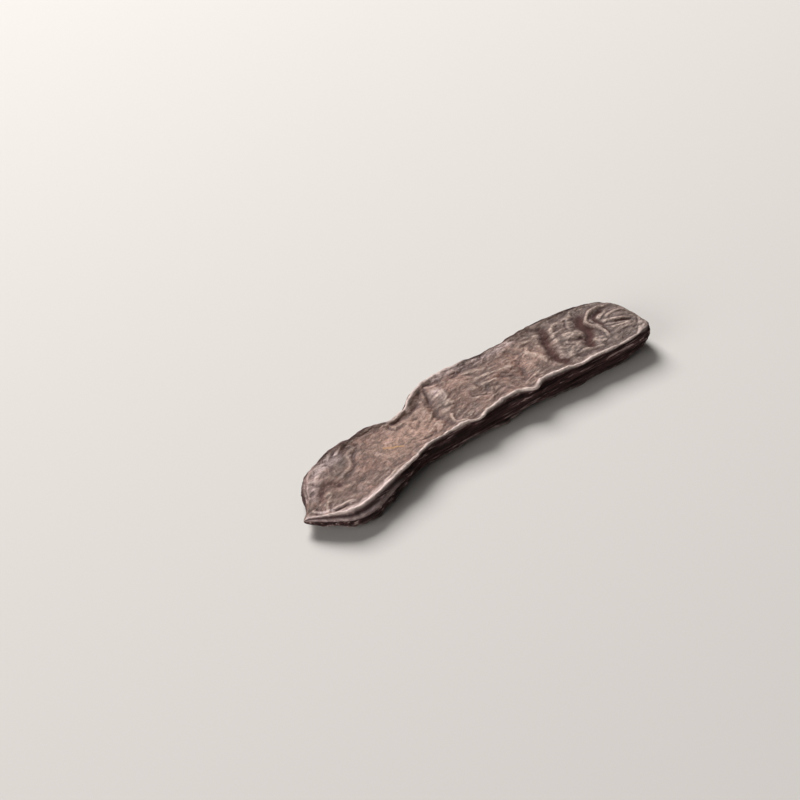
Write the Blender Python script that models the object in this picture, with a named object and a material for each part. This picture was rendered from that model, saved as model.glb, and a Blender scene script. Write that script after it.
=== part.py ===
"""A dried carob pod, lying on one of its two broad faces.

The pod is one grown piece: a flat strap between two thick edges, pointed at the beak where the
flower's style was, and blunt at the other end, where it broke off its stalk. Each broad face is
sunk between raised rims, and each edge carries the seam of the pod along its middle.

X runs along the pod, from the beak to the stalk scar, Y across it and Z up. The plan is given in
millimetres with X = 0 halfway along, and the finished mesh is centred on its box and set on Z = 0.
"""

import math

import bmesh
import bpy
import numpy as np
from mathutils import noise

MM = 0.001

# Driving dimensions, in millimetres
LENGTH = 166.0
THICKNESS = 9.6
FACE_SINK = 0.6
RIM_HEIGHT = 0.6
RIM_WIDTH = 0.8
RIM_SLOPE = 3.2
END_RIM_INSET = 2.0
END_RADIUS = 11.0

# Towards the stalk the face rises again: where that starts, over what length, and by what share
LEVEL_FROM = 58.0
LEVEL_OVER = 18.0
LEVEL_SHARE = 0.8

# The stalk end curls up a little: where that starts and how far the end is lifted
LIFT_FROM = 64.0
END_LIFT = 1.4

# How fine the solid is: steps round a section and along the pod, and the edge's part of a quarter turn
STEPS_ROUND = 56
STEPS_ALONG = 102
EDGE_SHARE = 4 / 14
FACE_SPREAD = 1.2

# The outline: place along the pod, far edge, near edge, and share of the full thickness
OUTLINE = (
    (-83.0, 0.0, 0.0, 0.00),
    (-82.0, 1.0, -1.2, 0.30),
    (-80.0, 2.5, -3.2, 0.46),
    (-77.6, 5.7, -5.7, 0.58),
    (-75.0, 10.0, -8.0, 0.68),
    (-71.4, 14.4, -11.0, 0.75),
    (-66.8, 17.6, -12.3, 0.80),
    (-61.0, 19.2, -12.3, 0.86),
    (-54.0, 20.1, -10.4, 0.91),
    (-45.2, 20.8, -7.2, 0.95),
    (-37.2, 21.4, -4.8, 0.97),
    (-27.7, 19.8, -3.2, 0.97),
    (-20.7, 21.0, -3.0, 0.98),
    (-11.2, 26.0, -3.0, 0.99),
    (0.0, 28.4, -3.1, 1.00),
    (11.0, 28.4, -3.2, 1.01),
    (23.0, 26.9, -3.6, 1.01),
    (33.0, 26.8, -4.1, 1.02),
    (45.0, 27.4, -4.8, 1.03),
    (56.0, 26.9, -5.4, 1.02),
    (64.0, 25.5, -5.8, 1.02),
    (70.0, 23.6, -5.9, 1.00),
    (75.0, 21.2, -5.6, 0.96),
    (78.6, 18.8, -4.9, 0.89),
    (81.1, 15.2, -3.5, 0.78),
    (82.5, 10.9, -0.8, 0.52),
    (83.0, 4.2, 4.2, 0.00),
)

# How far each rim's crest lies inside the edge: place along the pod and inset
NEAR_RIM_INSET = (
    (-83, 0.4), (-79.6, 0.5), (-75.8, 1.2), (-71.3, 2.1), (-67, 2.5), (-60, 3.0), (-54, 2.5),
    (-48, 1.7), (-42, 1.0), (-35, 0.7), (-31, 1.5), (-24, 2.4), (-14, 2.3), (-8, 1.9), (-4, 0.5), (1, 2.1),
    (8, 3.0), (18, 3.1), (23, 0.5), (27, 2.6), (35, 2.9), (40, 2.4), (46, 1.3), (52, 1.9),
    (60, 1.3), (70, 0.9), (76, 0.7), (80, 1.2), (83, 3.0),
)
FAR_RIM_INSET = (
    (-83, 0.4), (-80, 1.2), (-77, 2.6), (-72, 2.8), (-67, 1.8), (-60, 1.0), (-46, 1.3),
    (-36, 1.2), (-26, 2.2), (-14, 1.6), (-4, 1.3), (9, 1.6), (19, 2.0), (27, 1.3), (39, 1.6),
    (51, 1.2), (64, 1.2), (76, 1.4), (83, 3.0),
)
UNDER_RIM_INSET = (
    (-83, 0.4), (-64, 1.4), (-50, 1.0), (-36, 2.2), (-20, 1.2), (-6, 2.0), (8, 1.1), (24, 2.3),
    (40, 1.1), (56, 1.9), (70, 1.2), (76, 1.6), (83, 3.0),
)

# Folds pressed into the upper face and raised from it: height, half width, and the way they run
UPPER_FOLDS = {
    "waist_hollow": (-0.95, 2.5, ((-8, 21), (-10.5, 15), (-12.2, 9.5), (-11.8, 5), (-9.5, 1.5))),
    "waist_shoulder": (0.45, 2.4, ((-2.5, 24), (-3.5, 19), (-5, 14), (-4, 8))),
    "waist_crease": (0.55, 0.6, ((-7.8, 8), (-9.5, 5.3), (-10, 2.8), (-8.4, 0.8), (-6.5, -0.8))),
    "near_panel_hollow": (-0.45, 1.5, ((2.5, 12), (6.1, 10.1), (9, 9), (12, 7.2))),
    "middle_hollow": (-0.6, 2.8, ((31, 20), (30.5, 14), (28, 7), (24.5, 0))),
    "horseshoe_hollow": (
        -1.1, 2.0,
        (
            (52, 24), (49, 20), (46.5, 16.4), (44.2, 12.2), (42.6, 8.2), (42, 5), (43.2, 2.6),
            (47, 0.6),
        ),
    ),
    "horseshoe_bulge": (0.9, 4.0, ((56, 17), (54.5, 11), (54, 5))),
    "dimple": (-0.5, 0.8, ((51.6, 10), (54.9, 8.6), (58.2, 7.9))),
    "dimple_brow": (0.4, 0.7, ((52, 13.6), (55.5, 12.6), (56.8, 10.4), (59.4, 8.9))),
    "second_hollow": (
        -1.1, 2.1,
        (
            (70, 19.6), (64.1, 16.6), (62.2, 13.2), (62.4, 10.4), (60.8, 7.7), (58.1, 5.6),
            (57.4, 2.9), (59.6, 0),
        ),
    ),
    "hook_fold": (
        0.95, 0.7,
        (
            (64.6, 1.4), (65.9, 3.5), (66.1, 6.3), (65.5, 9.3), (64.8, 11.7), (64.8, 14),
            (67.6, 16), (70.3, 17.4), (74.7, 16.3), (78, 14.2),
        ),
    ),
    "hook_hollow": (-0.7, 0.9, ((74.6, 13.6), (71.5, 14.8), (68.6, 13.2), (68.4, 10.4), (68.8, 6))),
    "stalk_fold_far": (0.4, 0.7, ((71, 10.4), (74.3, 11), (77.4, 10.4), (80, 8.4))),
    "stalk_groove": (-0.5, 0.5, ((68, 9.8), (70.9, 7.5), (73.5, 5.9), (76.2, 4.4), (78.6, 2.9))),
    "stalk_fold_middle": (0.4, 0.5, ((69.6, 9.9), (72.7, 8.1), (75.8, 6.1), (79, 3.8))),
    "stalk_fold_near": (0.35, 0.7, ((69, 5.2), (72.3, 3.7), (77, 1.7))),
    "beak_crest": (0.5, 0.7, ((-79.4, 0.4), (-77.8, -1.8), (-74, -4.3), (-69, -5), (-63.5, -6.4))),
    "beak_shoulder": (0.6, 2.0, ((-70.5, 9.6), (-68, 11), (-64, 13.6), (-59.9, 15.2))),
    "beak_hollow": (-0.45, 1.8, ((-61, 1), (-64.5, 5), (-66.8, 7), (-70, 6), (-72.6, 3.4), (-76, 2.2))),
    "oval_hollow": (-0.45, 2.6, ((-61, 11), (-57, 12))),
    "oval_lip": (
        0.25, 0.8,
        ((-51.5, 15), (-52.2, 12), (-53.4, 9.8), (-56, 7.8), (-59.4, 6.6), (-62.5, 6.2)),
    ),
    "oval_groove": (-0.3, 1.1, ((-48, 15), (-50.2, 11.6), (-52.6, 8.6), (-56, 6.2), (-60, 4.8))),
    "belly_hollow": (-0.4, 5.2, ((-44, 7), (-26, 8))),
    "far_waist_groove": (-0.4, 1.1, ((-31, 16.4), (-24, 16.2), (-17, 17.2), (-12, 19.6))),
    "back_ripple": (0.4, 1.0, ((9, 16), (15.9, 14.9), (22, 13.8), (30, 12.7))),
    "back_groove_one": (-0.35, 1.5, ((17.5, 11.4), (21.5, 9.7), (24, 7), (25.8, 2.6))),
    "back_groove_two": (-0.3, 1.4, ((29.6, 12.6), (27.8, 8), (25.8, 4.4))),
    "back_far_groove": (-0.4, 1.2, ((4, 21.2), (9.5, 23), (14.2, 22.8), (18, 20.4))),
    "right_ripple": (0.4, 1.4, ((35, 17), (38, 11), (37, 5))),
}
UNDER_FOLDS = {
    "under_waist_hollow": (-0.8, 3.4, ((-20, 16), (-17, 8), (-20, 0))),
    "under_long_ripple": (0.55, 1.5, ((-55, 8), (-38, 5), (-24, 9))),
    "under_second_hollow": (-0.8, 2.6, ((14, 22), (11, 12), (15, 3))),
    "under_bulge": (0.6, 4.6, ((20, 13), (31, 10))),
    "under_crease": (0.6, 1.1, ((40, 19), (44, 11), (41, 4), (46, 0))),
    "under_stalk_hollow": (-0.8, 1.9, ((58, 18), (60, 10), (57, 3))),
    "under_stalk_fold": (0.6, 1.0, ((64, 12), (71, 9), (79, 6))),
    "under_beak_fold": (0.6, 1.1, ((-79, 0), (-70, 5), (-60, 7))),
}

# Stretches of the two lower rims that the pod stands on: place along it, and half length
REST_NEAR = ((-52.0, 7.0), (54.0, 7.0))
REST_FAR = ((-45.0, 7.0), (46.0, 7.0))
REST_SLOPE = 9.0
REST_CLEARANCE = 1.25
REST_PRESS = 0.55
REST_MARGIN = 0.15

# The seam and the ribs beside it, along each edge: place across the edge, height and half width
EDGE_RIBS = ((0.0, -0.5, 0.10), (0.22, 0.3, 0.13), (0.50, 0.35, 0.13), (0.74, -0.3, 0.14))

# How far from the beak and from the scar the rims, and the rest of the relief, are at full height
BEAK_RIM_FADE = 5.0
STALK_RIM_FADE = 10.0
END_FADE = 6.0

# The scar where the stalk broke off: how much of the end it cuts away, and how deep it is sunk
SCAR_CUT = 0.3
SCAR_DEPTH = 0.5

SKIN_COLOUR = (0.105, 0.062, 0.046, 1.0)
SKIN_ROUGHNESS = 0.55


def clear_scene():
    for old in list(bpy.data.objects):
        bpy.data.objects.remove(old, do_unlink=True)


def along(x):
    """Distance round a long oval's outline at x, counted from the middle: it spreads out the ends."""
    x = np.asarray(x, float)
    from_end = np.clip(LENGTH / 2 - np.abs(x), 0, None)
    turn = END_RADIUS * np.arccos(np.clip(1 - from_end / END_RADIUS, -1, 1))
    past = from_end - END_RADIUS + END_RADIUS * math.pi / 2
    to_end = np.where(from_end < END_RADIUS, turn, past)
    return np.sign(x) * (half_outline() - to_end)


def half_outline():
    return LENGTH / 2 - END_RADIUS + END_RADIUS * math.pi / 2


def station(share):
    """Place along the pod of a ring, with share from -1 at the beak to 1 at the stalk scar."""
    to_end = (1 - np.abs(share)) * half_outline()
    turned = END_RADIUS * (1 - np.cos(np.clip(to_end / END_RADIUS, 0, math.pi / 2)))
    straight = END_RADIUS + to_end - END_RADIUS * math.pi / 2
    from_end = np.where(to_end < END_RADIUS * math.pi / 2, turned, straight)
    return np.sign(share) * (LENGTH / 2 - from_end)


def smooth_through(places, values, at):
    """A smooth curve through the values at those places, read at other places."""
    places, values = np.asarray(places, float), np.asarray(values, float)
    slopes = np.gradient(values, places)
    i = np.clip(np.searchsorted(places, at, side="right") - 1, 0, len(places) - 2)
    span = places[i + 1] - places[i]
    t = np.clip((at - places[i]) / span, 0, 1)
    rest = 1 - t
    return (
        values[i] * (1 + 2 * t) * rest**2
        + slopes[i] * span * t * rest**2
        + values[i + 1] * t**2 * (3 - 2 * t)
        - slopes[i + 1] * span * t**2 * rest
    )


def read_outline(x, column):
    rows = np.array(OUTLINE)
    return smooth_through(along(rows[:, 0]), rows[:, column], along(x))


def read_inset(table, x):
    rows = np.array(table, float)
    return smooth_through(rows[:, 0], rows[:, 1], x)


def smooth_step(value):
    t = np.clip(value, 0, 1)
    return t * t * (3 - 2 * t)


def ball_of_rings():
    """A ball with its poles at the pod's two ends, and the place of each vertex on it."""
    bm = bmesh.new()
    bmesh.ops.create_uvsphere(bm, u_segments=STEPS_ROUND, v_segments=STEPS_ALONG, radius=1)
    mesh = bpy.data.meshes.new("carob_pod")
    bm.to_mesh(mesh)
    bm.free()
    ball = read_points(mesh)
    share = np.arcsin(np.clip(ball[:, 2], -1, 1)) / (math.pi / 2)
    turn = np.arctan2(ball[:, 1], ball[:, 0])
    return mesh, share, turn


def read_points(mesh):
    flat = np.empty(len(mesh.vertices) * 3)
    mesh.vertices.foreach_get("co", flat)
    return flat.reshape(-1, 3)


def read_normals(mesh):
    flat = np.empty(len(mesh.vertices) * 3)
    mesh.vertices.foreach_get("normal", flat)
    return flat.reshape(-1, 3)


def write_points(mesh, points):
    mesh.vertices.foreach_set("co", points.ravel())
    mesh.update()


def plain_pod(share, turn):
    """Each vertex set on the section at its station, and where it lies on that section."""
    x = station(share)
    far, near = read_outline(x, 1), read_outline(x, 2)
    half_thick = np.clip(read_outline(x, 3), 0, None) * THICKNESS / 2
    centre, half_width = (far + near) / 2, np.clip((far - near) / 2, 0, None)

    side = np.where(np.cos(turn) >= 0, 1.0, -1.0)
    face = np.where(np.sin(turn) >= 0, 1.0, -1.0)
    quarter = np.arcsin(np.clip(np.abs(np.sin(turn)), 0, 1)) / (math.pi / 2)
    up_edge = np.clip(quarter / EDGE_SHARE, 0, 1)
    over_face = np.clip((quarter - EDGE_SHARE) / (1 - EDGE_SHARE), 0, 1) ** FACE_SPREAD

    upper = np.where(side > 0, read_inset(FAR_RIM_INSET, x), read_inset(NEAR_RIM_INSET, x))
    inset = np.where(face > 0, upper, read_inset(UNDER_RIM_INSET, x))
    inset = np.minimum(inset, half_width * 0.4)

    crest = half_width - inset
    across = np.where(over_face > 0, crest * (1 - over_face), half_width - inset * up_edge**2.2)
    end_rim = LENGTH / 2 - END_RIM_INSET - across**2 / (2 * END_RADIUS)
    from_crest = np.minimum(crest * over_face, np.clip(end_rim - x, 0, None))
    room = smooth_step(crest / (2 * RIM_SLOPE))
    level = LEVEL_SHARE * smooth_step((x - LEVEL_FROM) / LEVEL_OVER)
    sink = FACE_SINK * (1 - level) * room * smooth_step(from_crest / RIM_SLOPE)
    height = half_thick * up_edge - sink
    lift = END_LIFT * smooth_step((x - LIFT_FROM) / (LENGTH / 2 - LIFT_FROM))

    points = np.column_stack([x, centre + side * across, face * height + lift])
    return points, {
        "x": x, "side": side, "face": face, "up_edge": up_edge, "from_crest": from_crest,
        "over_face": over_face, "room": room, "half_width": half_width,
    }


def fold_line(points, per_span=8):
    """The points of a fold joined by a smooth curve."""
    points = np.array(points, float)
    places = np.arange(len(points))
    at = np.linspace(0, len(points) - 1, (len(points) - 1) * per_span + 1)
    return np.column_stack([smooth_through(places, points[:, k], at) for k in (0, 1)])


def fold_height(x, y, folds):
    """Height of all the folds at a place of the plan. Each one fades out at its two ends."""
    total = np.zeros(len(x))
    for height, half_width, way in folds.values():
        line = fold_line(way)
        nearest = np.full(len(x), np.inf)
        part = np.zeros(len(x))
        for i, (start, end) in enumerate(zip(line[:-1], line[1:])):
            step = end - start
            t = ((x - start[0]) * step[0] + (y - start[1]) * step[1]) / (step @ step)
            t = np.clip(t, 0, 1)
            gap = np.hypot(x - start[0] - t * step[0], y - start[1] - t * step[1])
            part = np.where(gap < nearest, (i + t) / (len(line) - 1), part)
            nearest = np.minimum(nearest, gap)
        length = np.hypot(*np.diff(line, axis=0).T).sum()
        from_tip = np.minimum(part, 1 - part) * length
        fade = smooth_step(from_tip / max(1.6 * half_width, 0.15 * length))
        total += height * fade * np.exp(-((nearest / half_width) ** 2))
    return total


def wrinkles(points, length, seed):
    """Noise drawn out along the pod, one value for each point."""
    return np.array(
        [noise.noise((x / length, y / (length * 0.45), z / (length * 0.6) + seed)) for x, y, z in points]
    )


def relief(points, place):
    """How far the skin stands out of the plain pod."""
    x, y = points[:, 0], points[:, 1]
    up_edge, from_crest, room = place["up_edge"], place["from_crest"], place["room"]
    on_face = smooth_step(place["over_face"] / 0.12)

    edge_distance = (1 - up_edge) * THICKNESS / 2
    crest_gap = np.where(place["over_face"] > 0, from_crest, edge_distance)
    rim = RIM_HEIGHT * room * np.exp(-((crest_gap / RIM_WIDTH) ** 2))

    ribs = np.zeros(len(x))
    for where, height, width in EDGE_RIBS:
        ribs += height * np.exp(-(((up_edge - where) / width) ** 2))
    ribs *= room * (1 - on_face)

    folds = np.where(place["face"] > 0, fold_height(x, y, UPPER_FOLDS), fold_height(x, y, UNDER_FOLDS))
    folds *= smooth_step(place["half_width"] / 4) * (0.3 + 0.7 * on_face)

    rough = 0.5 * wrinkles(points, 17, 3.7) + 0.24 * wrinkles(points, 7, 9.1)
    from_beak, from_scar = LENGTH / 2 + place["x"], LENGTH / 2 - place["x"]
    from_end = np.minimum(from_beak, from_scar)
    rim *= smooth_step(from_beak / BEAK_RIM_FADE) * smooth_step(from_scar / STALK_RIM_FADE)
    return rim + (ribs + folds + rough * room) * smooth_step(from_end / END_FADE)


def standing_share(place):
    """1 on the stretches of the lower rims that the pod stands on, falling to 0 beside them."""
    share = np.zeros(len(place["x"]))
    for spots, side in ((REST_NEAR, -1), (REST_FAR, 1)):
        for middle, half_length in spots:
            beyond = np.abs(place["x"] - middle) - half_length
            near_it = smooth_step(1 - beyond / REST_SLOPE)
            share = np.maximum(share, np.where(place["side"] == side, near_it, 0))
    return share


def set_on_rims(points, place):
    """Lifts the lower rims off the floor, but for the stretches that the pod stands on, pressed flat."""
    share = standing_share(place)
    depth = np.where(place["face"] < 0, -points[:, 2], 0)
    lift = REST_CLEARANCE * (1 - share) * smooth_step(depth / (THICKNESS / 2))
    height = points[:, 2] + lift

    stands = (place["face"] < 0) & (share == 1)
    corners = [
        stands & (place["side"] == side) & (place["x"] * end > 0) for side in (-1, 1) for end in (-1, 1)
    ]
    floor = max(height[corner].min() for corner in corners) + REST_PRESS
    lowest = floor + REST_MARGIN * smooth_step((1 - share) / 0.3)
    return np.column_stack([points[:, :2], np.maximum(height, lowest)]), floor


def stalk_scar(points):
    """Cuts the blunt end off flat where the stalk came away, and sinks the middle of the cut."""
    cut = LENGTH / 2 - SCAR_CUT
    beyond = np.clip(points[:, 0] - cut, 0, None)
    sunk = SCAR_DEPTH * smooth_step(beyond / SCAR_CUT)
    return np.column_stack([points[:, 0] - beyond - sunk, points[:, 1:]])


def make_skin():
    material = bpy.data.materials.new("pod_skin")
    material.use_nodes = True
    shader = material.node_tree.nodes["Principled BSDF"]
    shader.inputs["Base Color"].default_value = SKIN_COLOUR
    shader.inputs["Roughness"].default_value = SKIN_ROUGHNESS
    shader.inputs["Metallic"].default_value = 0.0
    return material


def make_pod():
    mesh, share, turn = ball_of_rings()
    points, place = plain_pod(share, turn)
    write_points(mesh, points)
    points = points + read_normals(mesh) * relief(points, place)[:, None]
    points = stalk_scar(points)
    points, floor = set_on_rims(points, place)

    low, high = points.min(axis=0), points.max(axis=0)
    points -= ((low[0] + high[0]) / 2, (low[1] + high[1]) / 2, floor)
    points[np.abs(points[:, 2]) < 1e-6, 2] = 0.0
    write_points(mesh, points * MM)

    pod = bpy.data.objects.new("carob_pod", mesh)
    mesh.shade_smooth()
    mesh.materials.append(make_skin())
    collection = bpy.data.collections.new("carob_pod")
    bpy.context.scene.collection.children.link(collection)
    collection.objects.link(pod)
    return pod


def main():
    clear_scene()
    make_pod()


main()
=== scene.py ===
# %% [markdown]
# # A dried carob pod
#
# The carob's pod is one grown piece: a flat strap of husk between two thick edges, pointed at the
# beak and blunt where it left its stalk. As it dries, the husk sinks between the edges and wrinkles.
# The solid model already has the outline, the rims and the main folds. This script builds the same
# pod again from the same values, four times finer, adds the wrinkles that drying leaves, and gives
# it a skin.

import math

import bmesh
import bpy
import numpy as np
from mathutils import Matrix, Vector, noise


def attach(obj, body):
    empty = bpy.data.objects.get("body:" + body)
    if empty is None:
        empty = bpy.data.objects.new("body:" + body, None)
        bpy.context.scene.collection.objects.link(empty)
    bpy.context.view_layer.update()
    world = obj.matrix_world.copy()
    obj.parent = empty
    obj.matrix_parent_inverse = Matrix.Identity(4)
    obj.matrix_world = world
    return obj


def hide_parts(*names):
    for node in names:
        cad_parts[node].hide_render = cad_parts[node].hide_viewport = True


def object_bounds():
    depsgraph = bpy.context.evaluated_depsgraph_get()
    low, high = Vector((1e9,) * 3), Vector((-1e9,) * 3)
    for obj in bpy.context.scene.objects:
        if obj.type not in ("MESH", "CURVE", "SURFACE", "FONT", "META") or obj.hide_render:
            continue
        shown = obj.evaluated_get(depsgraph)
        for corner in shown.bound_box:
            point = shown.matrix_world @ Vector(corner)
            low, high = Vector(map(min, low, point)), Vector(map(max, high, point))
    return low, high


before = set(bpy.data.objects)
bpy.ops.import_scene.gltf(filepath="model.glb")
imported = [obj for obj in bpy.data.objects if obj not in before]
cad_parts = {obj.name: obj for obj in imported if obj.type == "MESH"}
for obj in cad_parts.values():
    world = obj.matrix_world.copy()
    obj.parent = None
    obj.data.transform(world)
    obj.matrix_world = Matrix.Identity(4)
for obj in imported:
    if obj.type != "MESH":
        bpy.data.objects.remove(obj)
CAD_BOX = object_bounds()
MM = 0.001
CAD_LOW, CAD_HIGH = (np.array(corner) / MM for corner in CAD_BOX)
print("solid model, mm:", (CAD_HIGH - CAD_LOW).round(1))

# %% [markdown]
# ## Outline
#
# The photograph gives the pod's plan. A smooth curve through a few places along it is enough for
# each edge, so the table has only the rows that the shape needs. Rounding the blunt end needs more
# rings there, and so the rings are spaced along the outline rather than along X.

# %% Outline and thickness
LENGTH = 166.0
THICKNESS = 9.6
END_RADIUS = 11.0

# Place along the pod, far edge, near edge, and share of the full thickness
OUTLINE = (
    (-83.0, 0.0, 0.0, 0.00),
    (-82.0, 1.0, -1.2, 0.30),
    (-80.0, 2.5, -3.2, 0.46),
    (-77.6, 5.7, -5.7, 0.58),
    (-75.0, 10.0, -8.0, 0.68),
    (-71.4, 14.4, -11.0, 0.75),
    (-66.8, 17.6, -12.3, 0.80),
    (-61.0, 19.2, -12.3, 0.86),
    (-54.0, 20.1, -10.4, 0.91),
    (-45.2, 20.8, -7.2, 0.95),
    (-37.2, 21.4, -4.8, 0.97),
    (-27.7, 19.8, -3.2, 0.97),
    (-20.7, 21.0, -3.0, 0.98),
    (-11.2, 26.0, -3.0, 0.99),
    (0.0, 28.4, -3.1, 1.00),
    (11.0, 28.4, -3.2, 1.01),
    (23.0, 26.9, -3.6, 1.01),
    (33.0, 26.8, -4.1, 1.02),
    (45.0, 27.4, -4.8, 1.03),
    (56.0, 26.9, -5.4, 1.02),
    (64.0, 25.5, -5.8, 1.02),
    (70.0, 23.6, -5.9, 1.00),
    (75.0, 21.2, -5.6, 0.96),
    (78.6, 18.8, -4.9, 0.89),
    (81.1, 15.2, -3.5, 0.78),
    (82.5, 10.9, -0.8, 0.52),
    (83.0, 4.2, 4.2, 0.00),
)
HALF_OUTLINE = LENGTH / 2 - END_RADIUS + END_RADIUS * math.pi / 2


def along(x):
    """Distance round a long oval's outline at x, counted from the middle: it spreads out the ends."""
    x = np.asarray(x, float)
    from_end = np.clip(LENGTH / 2 - np.abs(x), 0, None)
    turn = END_RADIUS * np.arccos(np.clip(1 - from_end / END_RADIUS, -1, 1))
    past = from_end - END_RADIUS + END_RADIUS * math.pi / 2
    return np.sign(x) * (HALF_OUTLINE - np.where(from_end < END_RADIUS, turn, past))


def station(share):
    """Place along the pod of a ring, with share from -1 at the beak to 1 at the stalk scar."""
    to_end = (1 - np.abs(share)) * HALF_OUTLINE
    turned = END_RADIUS * (1 - np.cos(np.clip(to_end / END_RADIUS, 0, math.pi / 2)))
    straight = END_RADIUS + to_end - END_RADIUS * math.pi / 2
    from_end = np.where(to_end < END_RADIUS * math.pi / 2, turned, straight)
    return np.sign(share) * (LENGTH / 2 - from_end)


def smooth_through(places, values, at):
    """A smooth curve through the values at those places, read at other places."""
    places, values = np.asarray(places, float), np.asarray(values, float)
    slopes = np.gradient(values, places)
    i = np.clip(np.searchsorted(places, at, side="right") - 1, 0, len(places) - 2)
    span = places[i + 1] - places[i]
    t = np.clip((at - places[i]) / span, 0, 1)
    rest = 1 - t
    return (
        values[i] * (1 + 2 * t) * rest**2
        + slopes[i] * span * t * rest**2
        + values[i + 1] * t**2 * (3 - 2 * t)
        - slopes[i + 1] * span * t**2 * rest
    )


def read_outline(x, column):
    rows = np.array(OUTLINE)
    return smooth_through(along(rows[:, 0]), rows[:, column], along(x))


def smooth_step(value):
    t = np.clip(value, 0, 1)
    return t * t * (3 - 2 * t)


print("pod:", LENGTH, "mm long and", THICKNESS, "mm thick before its rims are raised")

# %% [markdown]
# ## Camera
#
# The camera stands where the photographer's did: 37 degrees above the table, with the pod lying
# across the frame from lower left to upper right. It is placed from a point on the pod's top near its
# middle, so that the same place on the pod falls on the same place of the picture. A long lens keeps
# the perspective as mild as the photograph's.

# %% Camera
ELEVATION = math.radians(37)
PICTURE_TILT = math.radians(28.7)
PICTURE_SIZE = 800
AIM_ON_POD = (-2.2, 0.0, 5.0)
AIM_IN_PICTURE = (478.4, 422.8)
PIXEL = 0.351 * MM
LENS = 135.0
SENSOR = 36.0
PLAN_CENTRE = np.array([-0.27, 8.17])


def place_on_pod(x, y, z):
    """A place of the pod's plan in the frame, where the plan's X and Y are centred on the box."""
    shift = (CAD_LOW[:2] + CAD_HIGH[:2]) / 2 - PLAN_CENTRE
    return Vector((x + shift[0], y + shift[1], z)) * MM


turned_by = math.atan(math.tan(PICTURE_TILT) / math.sin(ELEVATION))
right = Vector((math.cos(turned_by), -math.sin(turned_by), 0))
ahead = Vector((math.sin(turned_by), math.cos(turned_by), 0))
back = Vector((0, 0, math.sin(ELEVATION))) - ahead * math.cos(ELEVATION)
up = Vector((0, 0, math.cos(ELEVATION))) + ahead * math.sin(ELEVATION)

offset_right = (AIM_IN_PICTURE[0] - PICTURE_SIZE / 2) * PIXEL
offset_down = (AIM_IN_PICTURE[1] - PICTURE_SIZE / 2) * PIXEL
target = place_on_pod(*AIM_ON_POD) - right * offset_right + up * offset_down

camera_data = bpy.data.cameras.new("camera")
camera_data.lens = LENS
camera_data.sensor_width = SENSOR
camera_data.clip_start = 0.01
camera = bpy.data.objects.new("camera", camera_data)
camera.location = target + back * (LENS / SENSOR * PICTURE_SIZE * PIXEL)
camera.rotation_euler = Matrix((right, up, back)).transposed().to_euler()
bpy.context.scene.collection.objects.link(camera)
bpy.context.scene.camera = camera
print("camera at, mm:", [round(value / MM) for value in camera.location])

# %% [markdown]
# ## Plain pod
#
# The real pod has no seam across it, so its mesh needs none. A ball's rings already close at two
# poles: with the poles at the beak and the scar, each ring becomes one section of the pod. Blender's
# UV sphere gives that ball, and its points are then moved onto the sections.
#
# A section has four quarters, two to each edge. The first part of a quarter climbs the edge to the
# crest of its rim. The rest crosses the face, sunk below the crests.

# %% Rings and sections
STEPS_ROUND = 208
STEPS_ALONG = 440
EDGE_SHARE = 0.26
FACE_SPREAD = 1.1
FACE_SINK = 0.6
RIM_SLOPE = 3.2
END_RIM_INSET = 2.0

# Towards the stalk the face rises again: where that starts, over what length, and by what share
LEVEL_FROM = 58.0
LEVEL_OVER = 18.0
LEVEL_SHARE = 0.8

# The stalk end curls up a little: where that starts and how far the end is lifted
LIFT_FROM = 64.0
END_LIFT = 1.4

# How far each rim's crest lies inside the edge: place along the pod and inset
NEAR_RIM_INSET = (
    (-83, 0.4), (-79.6, 0.5), (-75.8, 1.2), (-71.3, 2.1), (-67, 2.5), (-60, 3.0), (-54, 2.5),
    (-48, 1.7), (-42, 1.0), (-35, 0.7), (-31, 1.5), (-24, 2.4), (-14, 2.3), (-8, 1.9), (-4, 0.5), (1, 2.1),
    (8, 3.0), (18, 3.1), (23, 0.5), (27, 2.6), (35, 2.9), (40, 2.4), (46, 1.3), (52, 1.9),
    (60, 1.3), (70, 0.9), (76, 0.7), (80, 1.2), (83, 3.0),
)
FAR_RIM_INSET = (
    (-83, 0.4), (-80, 1.2), (-77, 2.6), (-72, 2.8), (-67, 1.8), (-60, 1.0), (-46, 1.3),
    (-36, 1.2), (-26, 2.2), (-14, 1.6), (-4, 1.3), (9, 1.6), (19, 2.0), (27, 1.3), (39, 1.6),
    (51, 1.2), (64, 1.2), (76, 1.4), (83, 3.0),
)
UNDER_RIM_INSET = (
    (-83, 0.4), (-64, 1.4), (-50, 1.0), (-36, 2.2), (-20, 1.2), (-6, 2.0), (8, 1.1), (24, 2.3),
    (40, 1.1), (56, 1.9), (70, 1.2), (76, 1.6), (83, 3.0),
)


def read_table(table, x):
    rows = np.array(table, float)
    return smooth_through(rows[:, 0], rows[:, 1], x)


def read_points(mesh, kind="co"):
    flat = np.empty(len(mesh.vertices) * 3)
    mesh.vertices.foreach_get(kind, flat)
    return flat.reshape(-1, 3)


def write_points(mesh, points):
    mesh.vertices.foreach_set("co", points.ravel())
    mesh.update()


def ball_of_rings(name):
    """A ball with its poles at the pod's two ends, and the place of each vertex on it."""
    bm = bmesh.new()
    bmesh.ops.create_uvsphere(bm, u_segments=STEPS_ROUND, v_segments=STEPS_ALONG, radius=1)
    mesh = bpy.data.meshes.new(name)
    bm.to_mesh(mesh)
    bm.free()
    ball = read_points(mesh)
    share = np.arcsin(np.clip(ball[:, 2], -1, 1)) / (math.pi / 2)
    turn = np.arctan2(ball[:, 1], ball[:, 0])
    return mesh, share, turn


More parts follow.
